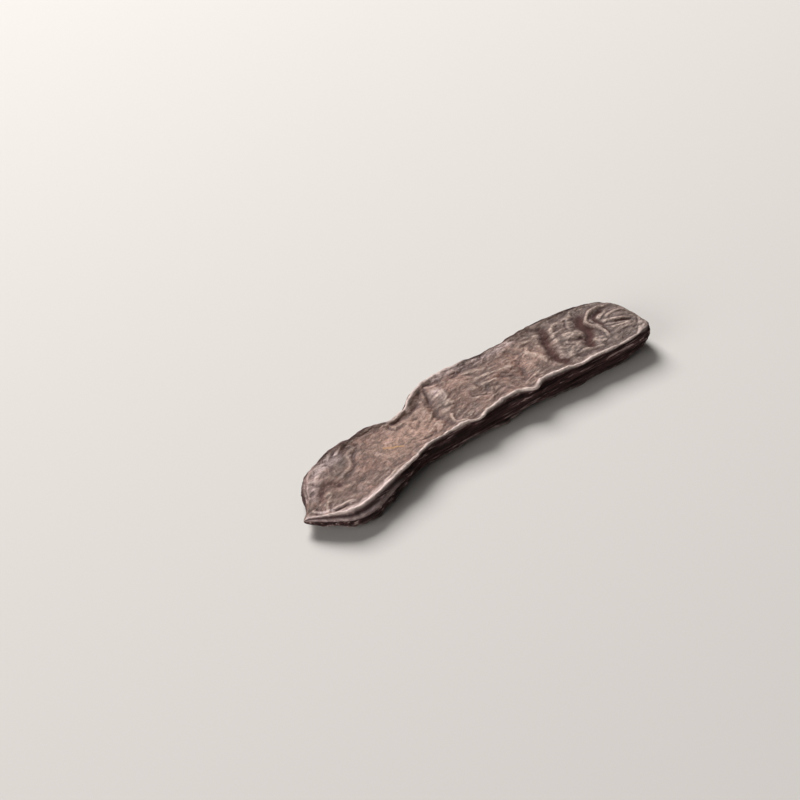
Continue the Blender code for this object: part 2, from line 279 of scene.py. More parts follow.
def plain_pod(share, turn):
    """Each vertex set on the section at its station, and where it lies on that section."""
    x = station(share)
    far, near = read_outline(x, 1), read_outline(x, 2)
    half_thick = np.clip(read_outline(x, 3), 0, None) * THICKNESS / 2
    centre, half_width = (far + near) / 2, np.clip((far - near) / 2, 0, None)

    side = np.where(np.cos(turn) >= 0, 1.0, -1.0)
    face = np.where(np.sin(turn) >= 0, 1.0, -1.0)
    quarter = np.arcsin(np.clip(np.abs(np.sin(turn)), 0, 1)) / (math.pi / 2)
    up_edge = np.clip(quarter / EDGE_SHARE, 0, 1)
    over_face = np.clip((quarter - EDGE_SHARE) / (1 - EDGE_SHARE), 0, 1) ** FACE_SPREAD

    upper = np.where(side > 0, read_table(FAR_RIM_INSET, x), read_table(NEAR_RIM_INSET, x))
    inset = np.where(face > 0, upper, read_table(UNDER_RIM_INSET, x))
    inset = np.minimum(inset, half_width * 0.4)

    crest = half_width - inset
    across = np.where(over_face > 0, crest * (1 - over_face), half_width - inset * up_edge**2.2)
    end_rim = LENGTH / 2 - END_RIM_INSET - across**2 / (2 * END_RADIUS)
    from_crest = np.minimum(crest * over_face, np.clip(end_rim - x, 0, None))
    room = smooth_step(crest / (2 * RIM_SLOPE))
    level = LEVEL_SHARE * smooth_step((x - LEVEL_FROM) / LEVEL_OVER)
    sink = FACE_SINK * (1 - level) * room * smooth_step(from_crest / RIM_SLOPE)
    height = half_thick * up_edge - sink
    lift = END_LIFT * smooth_step((x - LIFT_FROM) / (LENGTH / 2 - LIFT_FROM))

    points = np.column_stack([x, centre + side * across, face * height + lift])
    return points, {
        "x": x, "side": side, "face": face, "up_edge": up_edge, "from_crest": from_crest,
        "over_face": over_face, "room": room, "half_width": half_width, "across": side * across,
    }


pod_mesh, ring_share, ring_turn = ball_of_rings("carob_pod_skin")
plain_points, place = plain_pod(ring_share, ring_turn)
write_points(pod_mesh, plain_points)
print("pod mesh:", len(pod_mesh.vertices), "vertices")

# %% [markdown]
# ## Rims, seam and folds
#
# Each edge ends above and below in a thin raised rim, and carries the seam along its middle with a
# rib on either side. The folds are where the husk has buckled over the seeds. Each is drawn as a
# stroke: a few points, a width and a height. A stroke is easier to place than a painted height map,
# and the same stroke later takes colour: the darkest hollows get a painted shade.

# %% Rims, ribs and named folds
# How high each rim's crest stands: place along the pod and height
NEAR_RIM_HEIGHT = ((-83, 0.1), (-76, 0.5), (-50, 0.6), (58, 0.6), (70, 0.45), (78, 0.15), (83, 0.0))
FAR_RIM_HEIGHT = ((-83, 0.0), (-66, 0.1), (-56, 0.35), (-20, 0.45), (40, 0.42), (60, 0.3), (83, 0.0))
NEAR_RIM_WIDTH = 0.5
FAR_RIM_WIDTH = 0.8
GROOVE_OUT = 1.15
GROOVE_HALF_WIDTH = 0.38
GROOVE_DEPTH = 0.3
END_FADE = 4.0
RIB_FADE = 12.0

# The seam and the ribs beside it, along each edge: place across the edge, height and half width
EDGE_RIBS = ((0.0, -0.5, 0.10), (0.22, 0.3, 0.13), (0.50, 0.35, 0.13), (0.74, -0.3, 0.14))

# Height, half width, and the way the fold runs, in mm of the pod's plan
UPPER_FOLDS = {
    "waist_hollow": (-0.95, 2.5, ((-8, 21), (-10.5, 15), (-12.2, 9.5), (-11.8, 5), (-9.5, 1.5))),
    "waist_shoulder": (0.45, 2.4, ((-2.5, 24), (-3.5, 19), (-5, 14), (-4, 8))),
    "waist_crease": (0.55, 0.6, ((-7.8, 8), (-9.5, 5.3), (-10, 2.8), (-8.4, 0.8), (-6.5, -0.8))),
    "near_panel_hollow": (-0.45, 1.5, ((2.5, 12), (6.1, 10.1), (9, 9), (12, 7.2))),
    "middle_hollow": (-0.6, 2.8, ((31, 20), (30.5, 14), (28, 7), (24.5, 0))),
    "horseshoe_hollow": (
        -1.1, 2.0,
        (
            (52, 24), (49, 20), (46.5, 16.4), (44.2, 12.2), (42.6, 8.2), (42, 5), (43.2, 2.6),
            (47, 0.6),
        ),
    ),
    "horseshoe_bulge": (0.9, 4.0, ((56, 17), (54.5, 11), (54, 5))),
    "dimple": (-0.5, 0.8, ((51.6, 10), (54.9, 8.6), (58.2, 7.9))),
    "dimple_brow": (0.4, 0.7, ((52, 13.6), (55.5, 12.6), (56.8, 10.4), (59.4, 8.9))),
    "second_hollow": (
        -1.1, 2.1,
        (
            (70, 19.6), (64.1, 16.6), (62.2, 13.2), (62.4, 10.4), (60.8, 7.7), (58.1, 5.6),
            (57.4, 2.9), (59.6, 0),
        ),
    ),
    "hook_fold": (
        0.95, 0.7,
        (
            (64.6, 1.4), (65.9, 3.5), (66.1, 6.3), (65.5, 9.3), (64.8, 11.7), (64.8, 14),
            (67.6, 16), (70.3, 17.4), (74.7, 16.3), (78, 14.2),
        ),
    ),
    "hook_hollow": (-0.7, 0.9, ((74.6, 13.6), (71.5, 14.8), (68.6, 13.2), (68.4, 10.4), (68.8, 6))),
    "stalk_fold_far": (0.4, 0.7, ((71, 10.4), (74.3, 11), (77.4, 10.4), (80, 8.4))),
    "stalk_groove": (-0.5, 0.5, ((68, 9.8), (70.9, 7.5), (73.5, 5.9), (76.2, 4.4), (78.6, 2.9))),
    "stalk_fold_middle": (0.4, 0.5, ((69.6, 9.9), (72.7, 8.1), (75.8, 6.1), (79, 3.8))),
    "stalk_fold_near": (0.35, 0.7, ((69, 5.2), (72.3, 3.7), (77, 1.7))),
    "beak_crest": (0.5, 0.7, ((-79.4, 0.4), (-77.8, -1.8), (-74, -4.3), (-69, -5), (-63.5, -6.4))),
    "beak_shoulder": (0.6, 2.0, ((-70.5, 9.6), (-68, 11), (-64, 13.6), (-59.9, 15.2))),
    "beak_hollow": (-0.45, 1.8, ((-61, 1), (-64.5, 5), (-66.8, 7), (-70, 6), (-72.6, 3.4), (-76, 2.2))),
    "oval_hollow": (-0.45, 2.6, ((-61, 11), (-57, 12))),
    "oval_lip": (
        0.25, 0.8,
        ((-51.5, 15), (-52.2, 12), (-53.4, 9.8), (-56, 7.8), (-59.4, 6.6), (-62.5, 6.2)),
    ),
    "oval_groove": (-0.3, 1.1, ((-48, 15), (-50.2, 11.6), (-52.6, 8.6), (-56, 6.2), (-60, 4.8))),
    "belly_hollow": (-0.4, 5.2, ((-44, 7), (-26, 8))),
    "far_waist_groove": (-0.4, 1.1, ((-31, 16.4), (-24, 16.2), (-17, 17.2), (-12, 19.6))),
    "back_ripple": (0.4, 1.0, ((9, 16), (15.9, 14.9), (22, 13.8), (30, 12.7))),
    "back_groove_one": (-0.35, 1.5, ((17.5, 11.4), (21.5, 9.7), (24, 7), (25.8, 2.6))),
    "back_groove_two": (-0.3, 1.4, ((29.6, 12.6), (27.8, 8), (25.8, 4.4))),
    "back_far_groove": (-0.4, 1.2, ((4, 21.2), (9.5, 23), (14.2, 22.8), (18, 20.4))),
    "right_ripple": (0.4, 1.4, ((35, 17), (38, 11), (37, 5))),
}
FINE_FOLDS = {
    "inside_far_rim": (-0.3, 0.8, ((-30.6, 17), (-30, 13.4), (-27.7, 12.9), (-23, 13.2))),
    "waist_far_groove": (-0.35, 0.8, ((-5.8, 25), (-7.8, 21.4), (-10, 16))),
    "waist_ripple": (0.25, 0.7, ((-7.9, 11.5), (-3.5, 13.2), (1, 14.8))),
    "panel_line": (-0.3, 0.5, ((3, 9.4), (6.4, 7.9), (10, 5.6))),
    "right_ripple_near": (0.25, 0.7, ((10, 12), (14, 11.4), (18, 10.8))),
    "near_inner_line": (-0.3, 0.5, ((-30, -2.6), (-27, -1.2), (-23, -0.2), (-19, 0), (-14, -0.2))),
    "bulge_edge": (
        0.3, 1.0,
        ((68, 21.6), (60, 20.9), (56, 20.9), (53, 19.8), (50.9, 17.2), (49.5, 13.8), (48.2, 9.4)),
    ),
    "bulge_crease": (-0.3, 0.5, ((60.8, 20.9), (58.1, 17.8), (56.8, 14.8))),
    "dimple_below": (-0.3, 0.45, ((49.6, 9.2), (51.2, 7.6), (52.8, 6))),
    "small_lump": (0.4, 0.7, ((59.6, 5.6), (60.5, 3.8), (61.9, 1.9), (64, 1.4))),
    "curl_line": (-0.3, 0.4, ((70, 10.9), (73.2, 12), (76.1, 12.2), (79, 11))),
    "below_line": (-0.25, 0.4, ((67.6, 8), (70.9, 5.4), (75, 3.4))),
    "corner_arc_outer": (0.2, 0.5, ((79.8, 8.4), (81.4, 5.7), (81.3, 2.5), (79.2, 0))),
    "corner_arc_groove": (-0.2, 0.45, ((80.8, 9.6), (82.1, 6.4), (82, 2.6), (80.4, -0.8))),
    "corner_arc_inner": (0.2, 0.5, ((78, 7), (79.6, 4.8), (79, 1.9), (76.6, 0.4))),
    "corner_dark_inner": (-0.3, 0.4, ((80.2, 3), (77.8, 0.2), (74.2, -1.4))),
    "end_fold_outer": (0.3, 0.6, ((81.6, -0.8), (80, -4), (77.4, -5.4))),
    "end_fold_inner": (0.3, 0.5, ((79, -2), (77.2, -4.4), (74, -4.8))),
    "beak_groove": (-0.5, 0.6, ((-80, -0.9), (-76.4, -3.1), (-71.9, -5.5), (-67, -6.2))),
    "beak_lump": (0.2, 1.2, ((-72.4, 4), (-70.1, 3), (-67.4, 2.4))),
    "beak_band": (0.2, 1.2, ((-73, 0.6), (-69.2, -1.6), (-65.4, -3.5), (-62, -4.6))),
    "oval_left": (-0.15, 0.8, ((-57.8, 14), (-60.8, 11.5), (-62.6, 7.9))),
    "oval_far_groove": (-0.2, 0.9, ((-44, 17), (-47.5, 13.6), (-51, 11.4))),
}
UNDER_FOLDS = {
    "under_waist_hollow": (-0.8, 3.4, ((-20, 16), (-17, 8), (-20, 0))),
    "under_long_ripple": (0.55, 1.5, ((-55, 8), (-38, 5), (-24, 9))),
    "under_second_hollow": (-0.8, 2.6, ((14, 22), (11, 12), (15, 3))),
    "under_bulge": (0.6, 4.6, ((20, 13), (31, 10))),
    "under_crease": (0.6, 1.1, ((40, 19), (44, 11), (41, 4), (46, 0))),
    "under_stalk_hollow": (-0.8, 1.9, ((58, 18), (60, 10), (57, 3))),
    "under_stalk_fold": (0.6, 1.0, ((64, 12), (71, 9), (79, 6))),
    "under_beak_fold": (0.6, 1.1, ((-79, 0), (-70, 5), (-60, 7))),
}


def fold_line(points, per_span=8):
    """The points of a fold joined by a smooth curve."""
    points = np.array(points, float)
    places = np.arange(len(points))
    at = np.linspace(0, len(points) - 1, (len(points) - 1) * per_span + 1)
    return np.column_stack([smooth_through(places, points[:, k], at) for k in (0, 1)])


def stroke(x, y, way, half_width):
    """1 on the smooth line through a stroke's points, falling to 0 beside it and fading at its ends."""
    line = fold_line(way)
    low, high = line.min(axis=0) - 3 * half_width, line.max(axis=0) + 3 * half_width
    around = np.flatnonzero((x > low[0]) & (x < high[0]) & (y > low[1]) & (y < high[1]))
    px, py = x[around], y[around]
    nearest, part = np.full(len(px), np.inf), np.zeros(len(px))
    for i, (start, end) in enumerate(zip(line[:-1], line[1:])):
        step = end - start
        t = np.clip(((px - start[0]) * step[0] + (py - start[1]) * step[1]) / (step @ step), 0, 1)
        gap = np.hypot(px - start[0] - t * step[0], py - start[1] - t * step[1])
        part = np.where(gap < nearest, (i + t) / (len(line) - 1), part)
        nearest = np.minimum(nearest, gap)
    length = np.hypot(*np.diff(line, axis=0).T).sum()
    fade = smooth_step(np.minimum(part, 1 - part) * length / max(1.6 * half_width, 0.15 * length))
    value = np.zeros(len(x))
    value[around] = fade * np.exp(-((nearest / half_width) ** 2))
    return value


def fold_height(x, y, folds):
    return sum(height * stroke(x, y, way, half_width) for height, half_width, way in folds.values())


def noise_at(coordinates):
    return np.array([noise.noise(c) for c in coordinates])


def drawn_out(points, length, width, seed):
    """Noise with cells of that length along the pod and that width across it."""
    scale = np.array([length, width, width])
    return noise_at(points / scale + (0, 0, seed))


def warped(points, size, reach, seed):
    """The same places, each moved by a wide noise."""
    shift = [noise.noise_vector(p) for p in points / size + (0, seed, 0)]
    return points + np.array(shift) * reach


def ridges(points, length, width, seed):
    """Narrow ridges with broad valleys, from 0 to 1."""
    return np.clip(1 - 3.2 * np.abs(drawn_out(points, length, width, seed)), 0, 1)


def rim_and_ribs(place):
    """Height of the rims' crests, of the groove outside each, and of the ribs along the edges."""
    waver = 1 + 0.9 * drawn_out(FOLLOWED, 4.5, 6.0, 12.5) + 0.5 * drawn_out(FOLLOWED, 1.8, 3.0, 2.9)
    uneven = 1 + 1.2 * drawn_out(FOLLOWED, 16, 1.6, 8.8)
    rim = RIM_HEIGHT * waver * np.exp(-((CREST_GAP / (RIM_HALF_WIDTH * waver)) ** 2))
    outside = np.where(place["over_face"] > 0, 9.0, CREST_GAP)
    groove = GROOVE_DEPTH * np.exp(-(((outside - GROOVE_OUT) / GROOVE_HALF_WIDTH) ** 2))
    ribs = sum(h * np.exp(-(((place["up_edge"] - at) / w) ** 2)) for at, h, w in EDGE_RIBS)
    ribs = (ribs * uneven - groove) * (1 - ON_FACE) * smooth_step(FROM_END / RIB_FADE)
    return (rim + ribs) * place["room"]


ON_FACE = smooth_step(place["over_face"] / 0.12)
IS_UPPER = place["face"] > 0
FROM_END = LENGTH / 2 - np.abs(place["x"])
EDGE_DISTANCE = (1 - place["up_edge"]) * THICKNESS / 2
CREST_GAP = np.where(place["over_face"] > 0, place["from_crest"], EDGE_DISTANCE)
FOLLOWED = np.column_stack([plain_points[:, 0], place["across"], plain_points[:, 2]])
far_height, near_height = (read_table(t, place["x"]) for t in (FAR_RIM_HEIGHT, NEAR_RIM_HEIGHT))
RIM_HEIGHT = np.where(place["side"] > 0, far_height, near_height)
RIM_HALF_WIDTH = np.where(place["side"] > 0, FAR_RIM_WIDTH, NEAR_RIM_WIDTH)
RIM_HALF_WIDTH *= 1 + 0.5 * smooth_step((place["x"] - 36) / 12)
plan_x, plan_y = plain_points[:, 0], plain_points[:, 1]
upper_folds = fold_height(plan_x, plan_y, UPPER_FOLDS) + fold_height(plan_x, plan_y, FINE_FOLDS)
folds = np.where(IS_UPPER, upper_folds, fold_height(plan_x, plan_y, UNDER_FOLDS))
folds *= smooth_step(place["half_width"] / 4) * (0.3 + 0.7 * ON_FACE)
print("folds:", round(folds.min(), 2), "to", round(folds.max(), 2), "mm")

# %% [markdown]
# ## Drying wrinkles
#
# Between the big folds the skin has dried into long, uneven wrinkles that follow the pod. Noise
# whose cells are drawn out along the pod gives their direction, and taking its distance from zero
# turns soft waves into narrow ridges. Moving the places that the noise is read at by another, wider
# noise keeps the ridges from running straight. These wrinkles are real heights in the mesh, so they
# show in the outline.

# %% Wrinkles
bent = warped(FOLLOWED, 9.0, 3.0, 2.3)
broad = 0.5 * drawn_out(plain_points, 17, 7.6, 3.7) + 0.24 * drawn_out(plain_points, 7, 3.2, 9.1)
middle = 0.20 * ridges(bent, 13, 4.2, 1.7) - 0.20 * ridges(bent, 10, 3.4, 6.1)
fine = 0.06 * ridges(bent, 5.0, 1.6, 4.4) - 0.06 * ridges(bent, 4.0, 1.3, 8.2)
grain = 0.04 * drawn_out(FOLLOWED, 1.5, 1.0, 5.0)

smooth_part = stroke(plan_x, plan_y, ((-76, 3), (-58, 8), (-40, 6), (-20, 8)), 7.5) * IS_UPPER
face_wrinkles = (middle + fine) * (1 - 0.6 * smooth_part) + grain
edge_lines = 0.3 * ridges(FOLLOWED, 50, 1.3, 7.7) - 0.25 * ridges(FOLLOWED, 30, 1.0, 3.1)
wrinkles = ON_FACE * face_wrinkles + (1 - ON_FACE) * (edge_lines + 0.5 * grain)
wrinkles = (broad + wrinkles) * place["room"] * smooth_step(FROM_END / END_FADE)
print("wrinkles:", round(wrinkles.min(), 2), "to", round(wrinkles.max(), 2), "mm")

# %% [markdown]
# ## Resting and the stalk's scar
#
# The hidden lower face is finished like the upper one. The pod stands on four short stretches of its
# lower rims, which are pressed flat, and the rest of those rims is lifted clear of the table. The
# blunt end keeps the small flat scar of the stalk that it broke from.

# %% Stand, scar and place in the frame
REST_NEAR = ((-52.0, 7.0), (54.0, 7.0))
REST_FAR = ((-45.0, 7.0), (46.0, 7.0))
REST_SLOPE = 9.0
REST_CLEARANCE = 1.25
REST_PRESS = 0.55
REST_MARGIN = 0.15
SCAR_CUT = 0.3
SCAR_DEPTH = 0.5
SOFTEN_TIMES = 2
SOFTEN_SHARE = 0.2


def stalk_scar(points):
    """Cuts the blunt end off flat where the stalk came away, and sinks the middle of the cut."""
    cut = LENGTH / 2 - SCAR_CUT
    beyond = np.clip(points[:, 0] - cut, 0, None)
    sunk = SCAR_DEPTH * smooth_step(beyond / SCAR_CUT)
    return np.column_stack([points[:, 0] - beyond - sunk, points[:, 1:]])


def standing_share(place):
    """1 on the stretches of the lower rims that the pod stands on, falling to 0 beside them."""
    share = np.zeros(len(place["x"]))
    for spots, side in ((REST_NEAR, -1), (REST_FAR, 1)):
        for middle_x, half_length in spots:
            beyond = np.abs(place["x"] - middle_x) - half_length
            near_it = smooth_step(1 - beyond / REST_SLOPE)
            share = np.maximum(share, np.where(place["side"] == side, near_it, 0))
    return share


def set_on_rims(points, place):
    """Lifts the lower rims off the floor, but for the stretches that the pod stands on, pressed flat."""
    share = standing_share(place)
    depth = np.where(place["face"] < 0, -points[:, 2], 0)
    lift = REST_CLEARANCE * (1 - share) * smooth_step(depth / (THICKNESS / 2))
    height = points[:, 2] + lift
    stands = (place["face"] < 0) & (share == 1)
    corners = [
        stands & (place["side"] == side) & (place["x"] * end > 0) for side in (-1, 1) for end in (-1, 1)
    ]
    floor = max(height[corner].min() for corner in corners) + REST_PRESS
    lowest = floor + REST_MARGIN * smooth_step((1 - share) / 0.3)
    return np.column_stack([points[:, :2], np.maximum(height, lowest)]), floor


def soften(mesh, times, share):
    """Each vertex drawn a share of the way to its neighbours' middle, a number of times."""
    bm = bmesh.new()
    bm.from_mesh(mesh)
    for _ in range(times):
        bmesh.ops.smooth_vert(
            bm, verts=bm.verts, factor=share, use_axis_x=True, use_axis_y=True, use_axis_z=True
        )
    bm.to_mesh(mesh)
    bm.free()
    mesh.update()


relief = rim_and_ribs(place) + folds + wrinkles
points = plain_points + read_points(pod_mesh, "normal") * relief[:, None]
points = stalk_scar(points)
write_points(pod_mesh, points)
soften(pod_mesh, SOFTEN_TIMES, SOFTEN_SHARE)
points, floor_height = set_on_rims(read_points(pod_mesh), place)

low, high = points.min(axis=0), points.max(axis=0)
centre = (low + high) / 2
room_for_it = (CAD_HIGH - CAD_LOW) / (high - low)
fit = np.minimum(room_for_it, 1.0)
points = (points - (centre[0], centre[1], floor_height)) * fit
points[:, :2] += (CAD_LOW[:2] + CAD_HIGH[:2]) / 2
write_points(pod_mesh, points * MM)
print("plan centre", centre.round(2), "fit to the solid's box:", fit.round(4))

# %% [markdown]
# ## Where the skin is worn, and where painted shade and highlights go
#
# The ridges are made paler, partly as rubbed wear and partly as a painted highlight, and the hollows
# and creases get a dark, reddish painted shade. How far a vertex stands out of a smoothed copy of the
# pod says which it is: a lightly smoothed copy finds the thin ridges and creases, and a well smoothed
# one the big hollows and bumps. The darkest painted shade in the hollows, the pale bloom with its
# painted sheen, and the beak's lip and bead don't follow from the height alone, so they are drawn as
# strokes. The crests are paled as wear and painted highlight, and the edges are darkened, partly in
# their own colour and partly as painted shade. Each result is kept as an attribute of the mesh, which
# a material can read and an export can bake.

# %% Attributes from the shape
# Hollows that get a painted shade, and how far that shade spreads beside each
DARK_HOLLOWS = ("horseshoe_hollow", "second_hollow", "hook_hollow", "beak_hollow")
DARK_SPREAD = 1.3


def stand_out(mesh, times):
    """How far each vertex stands out of a copy of the mesh smoothed that many times, in mm."""
    copy = mesh.copy()
    soften(copy, times, 0.5)
    gap = (read_points(mesh) - read_points(copy)) / MM
    out = (gap * read_points(copy, "normal")).sum(axis=1)
    bpy.data.meshes.remove(copy)
    return out


def keep(mesh, name, values):
    attribute = mesh.attributes.new(name, "FLOAT", "POINT")
    attribute.data.foreach_set("value", np.clip(values, 0, 1).astype(np.float32))
    print(name, "mean", round(float(np.clip(values, 0, 1).mean()), 3))


thin = stand_out(pod_mesh, 5)
wide = stand_out(pod_mesh, 60)
fleck = np.maximum(
    stroke(plan_x, plan_y, ((-40.0, 8.5), (-37.8, 7.4), (-36.0, 6.2)), 0.22),
    stroke(plan_x, plan_y, ((-37.4, 6.9), (-34.9, 6.0), (-33.0, 4.2)), 0.22),
)
pale = np.maximum.reduce([
    stroke(plan_x, plan_y, ((-48, 3), (-34, 8), (-20, 9), (-8, 5)), 6.5),
    stroke(plan_x, plan_y, ((26, 19), (36, 14), (40, 5)), 6.0),
    0.3 * stroke(plan_x, plan_y, ((-4, 20), (6, 17), (18, 16)), 4.0),
])
# Pale mauve: partly a bloom on the skin, partly a painted sheen along the far rim and shoulders
bloom_and_sheen = np.maximum.reduce([
    0.8 * stroke(plan_x, plan_y, ((-78, 3), (-73, 8.5), (-66, 13.5), (-57, 16.5), (-50, 17)), 2.4),
    stroke(plan_x, plan_y, ((-76, -6.5), (-67, -9), (-57, -8.4), (-46, -5.5)), 1.3),
    0.8 * stroke(plan_x, plan_y, ((-7, 22), (-4.5, 19), (-2, 14.5)), 2.4),
    0.8 * stroke(plan_x, plan_y, ((-8, 24), (2, 26), (14, 25), (28, 24), (40, 24)), 1.6),
    stroke(plan_x, plan_y, ((-79.4, 0.4), (-77.8, -1.8), (-74, -4.3), (-69, -5), (-63.5, -6.4)), 0.7),
])
# Crests made pale: partly wear, partly a painted highlight, stronger on the upper crests and on the far rim
# beside the waist
on_crest = np.exp(-((CREST_GAP / (0.8 * RIM_HALF_WIDTH)) ** 2)) * RIM_HEIGHT / 0.6
far_beside_waist = smooth_step((place["x"] + 36) / 12) * smooth_step((18 - place["x"]) / 12)
on_crest *= np.where(place["side"] > 0, 0.9 * far_beside_waist, 1.0) * np.where(IS_UPPER, 1.0, 0.4)
# Edge darkening: partly the edges' own dark colour, partly painted shade; away from the waist it reaches
# further in on the far side as a painted dark outline
edge_to = np.where((place["side"] > 0) & (far_beside_waist < 0.5), 0.035, 0.005)
edge = 1 - smooth_step((place["over_face"] - edge_to) / 0.03)
far_beak = smooth_step((-58 - place["x"]) / 8) * (place["side"] > 0) * IS_UPPER
edge *= 1 - far_beak * smooth_step((place["up_edge"] - 0.45) / 0.25)
near_beak = smooth_step((-42 - place["x"]) / 12) * (place["side"] < 0) * IS_UPPER
beak_bead = near_beak * np.exp(-(((place["up_edge"] - 0.35) / 0.2) ** 2)) * (1 - ON_FACE)
lip = near_beak * np.exp(-((CREST_GAP / 0.9) ** 2))

dark_folds = {
    name: (height, DARK_SPREAD * half_width, way)
    for name, (height, half_width, way) in UPPER_FOLDS.items() if name in DARK_HOLLOWS
}
# Painted shade: the named hollows spread wider, every hollow of the lower face and the beak's brown hollow
# are darkened by their depth
hollows = np.where(IS_UPPER, fold_height(plan_x, plan_y, dark_folds), folds)
# Ridges and bumps made paler: partly rubbed wear, partly a painted highlight
worn_and_highlit = 0.5 * smooth_step(thin / 0.05) + 0.6 * smooth_step(wide / 0.30)
beak_brown = 0.9 * stroke(plan_x, plan_y, UPPER_FOLDS["beak_hollow"][2], 2.0) * IS_UPPER
deep_shade = np.maximum(smooth_step(-hollows / 1.0), beak_brown)
calm = (1 - 0.4 * smooth_part) * (1 - 0.7 * deep_shade) * (1 - 0.6 * smooth_step((place["x"] - 73) / 6))
keep(pod_mesh, "worn_and_highlit", worn_and_highlit * ON_FACE * calm)
keep(pod_mesh, "pale", pale * IS_UPPER)
# Crest paling: wear and painted highlight
keep(pod_mesh, "rim", on_crest * smooth_step((wide + 0.1) / 0.25))
# Painted shade in the deepest hollows, in broad hollows and in thin creases
keep(pod_mesh, "deep_shade", deep_shade)
keep(pod_mesh, "hollow", smooth_step(-wide / 0.40))
keep(pod_mesh, "cleft", smooth_step(-thin / 0.05))
# Edge darkening: own colour and painted shade
keep(pod_mesh, "edge", edge)
keep(pod_mesh, "edge_line", 0.15 + 0.6 * smooth_step((4 - place["across"]) / 8))
# Bloom and painted sheen
keep(pod_mesh, "bloom_and_sheen", bloom_and_sheen * IS_UPPER)
keep(pod_mesh, "beak_edge", np.maximum(0.85 * beak_bead, lip))
keep(pod_mesh, "stalk_end", smooth_step((place["x"] - 28) / 34))
keep(pod_mesh, "fleck", smooth_step(fleck / 0.5) * IS_UPPER)
keep(pod_mesh, "scar", smooth_step((place["x"] - (LENGTH / 2 - 0.45)) / 0.15))

# %% [markdown]
# ## Skin
#
# A dried carob husk is leathery and slightly waxy: dark brown with a mauve cast, greyer towards the
# stalk, and almost black-brown along the edges, which also carry a painted shade. Ridges and crests are
# pale, partly rubbed and partly a painted highlight, hollows and creases hold a reddish painted shade,
# and a painted sheen joins the mauve bloom. The husk's light is soft and broad, and its fibres break it
# up into short streaks. All colours are mixed by the attributes above and by noise in the pod's own
# millimetres, so the skin looks the same from every side.

# %% Helpers for materials
def linear(hex_colour):
    """The linear colour of an sRGB hex value."""
    parts = [int(hex_colour[i : i + 2], 16) / 255 for i in (1, 3, 5)]
    return [p / 12.92 if p <= 0.04045 else ((p + 0.055) / 1.055) ** 2.4 for p in parts] + [1.0]


def new_material(name):
    material = bpy.data.materials.new(name)
    material.use_nodes = True
    return material, material.node_tree, material.node_tree.nodes["Principled BSDF"]


def add(tree, kind, inputs, **settings):
    """Adds a node, sets its properties, and fills its inputs with values or with other nodes' outputs."""
    node = tree.nodes.new(kind)
    for name, value in settings.items():
        setattr(node, name, value)
    for name, value in inputs.items():
        if isinstance(value, bpy.types.NodeSocket):
            tree.links.new(value, node.inputs[name])
        else:
            node.inputs[name].default_value = value
    return node


def per_mm(size):
    """The scale of a noise whose cells are that many mm wide, on coordinates in metres."""
    return 1 / (size * MM)


# %% Dried carob husk
FACE_BROWN = "#584032"
FACE_WARM = "#8f6757"
FACE_GREY = "#554740"
# Reddish painted shade for hollows and creases
HOLLOW_SHADE_RED = "#42241f"
# Edge colours: partly the edges' own dark brown, partly painted shade
EDGE_DARK_AND_SHADE = "#200d0c"
EDGE_BROWN = "#4c302d"
EDGE_PALE = "#bfa6a0"
# Mauve for the bloom and for painted sheen
BLOOM_AND_SHEEN_MAUVE = "#d4bbb7"
# Pale for fibres and specks, for rubbed wear, and for the painted highlight on ridges
RUBBED_AND_HIGHLIGHT = "#c6ad9f"
# Painted highlight on the crests, with their wear
CREST_WEAR_AND_HIGHLIGHT = "#eed8ce"
PALE_BROWN = "#bf9783"
FIBRE_DARK = "#43302a"
FLECK_TAN = "#b98a55"
SCAR_TAN = "#8d7355"

skin, tree, shader = new_material("dried_carob_husk")
where = add(tree, "ShaderNodeTexCoord", {}).outputs["Object"]
drawn = add(tree, "ShaderNodeMapping", {"Vector": where, "Scale": (0.4, 1, 1)}).outputs[0]
long_drawn = add(tree, "ShaderNodeMapping", {"Vector": where, "Scale": (0.035, 1, 1)}).outputs[0]


def skin_noise(size, vector=where, detail=3.0, roughness=0.6, distortion=0.0):
    inputs = {
        "Vector": vector, "Scale": per_mm(size), "Detail": detail, "Roughness": roughness,
        "Distortion": distortion,
    }
    return add(tree, "ShaderNodeTexNoise", inputs).outputs["Fac"]


def spread(value, low, high, to_low=0.0, to_high=1.0):
    """A value's range from low to high spread over another range, and held there."""
    inputs = {"Value": value, "From Min": low, "From Max": high, "To Min": to_low, "To Max": to_high}
    return add(tree, "ShaderNodeMapRange", inputs).outputs[0]


def times(a, b):
    return add(tree, "ShaderNodeMath", {0: a, 1: b}, operation="MULTIPLY").outputs[0]


def attribute(name):
    return add(tree, "ShaderNodeAttribute", {}, attribute_name=name).outputs["Fac"]


def blend(share, under, over):
    """The colour over laid on the colour under by a share. Inputs 6 and 7 are the node's two colours."""
    below, above = (linear(c) if isinstance(c, str) else c for c in (under, over))
    node = add(tree, "ShaderNodeMix", {0: share, 6: below, 7: above}, data_type="RGBA")
    return node.outputs[2]


mottle = skin_noise(9, detail=4.0)
patch = skin_noise(3.2, distortion=0.6)
fibre = skin_noise(1.2, vector=drawn, detail=5.0, roughness=0.75)
speck = skin_noise(0.9, detail=2.0, roughness=0.7)
grain_line = skin_noise(1.0, vector=long_drawn, detail=4.0, roughness=0.7)

colour = blend(spread(mottle, 0.35, 0.65), FACE_BROWN, FACE_WARM)
colour = blend(times(attribute("pale"), 0.8), colour, PALE_BROWN)
colour = blend(times(attribute("stalk_end"), 0.8), colour, FACE_GREY)
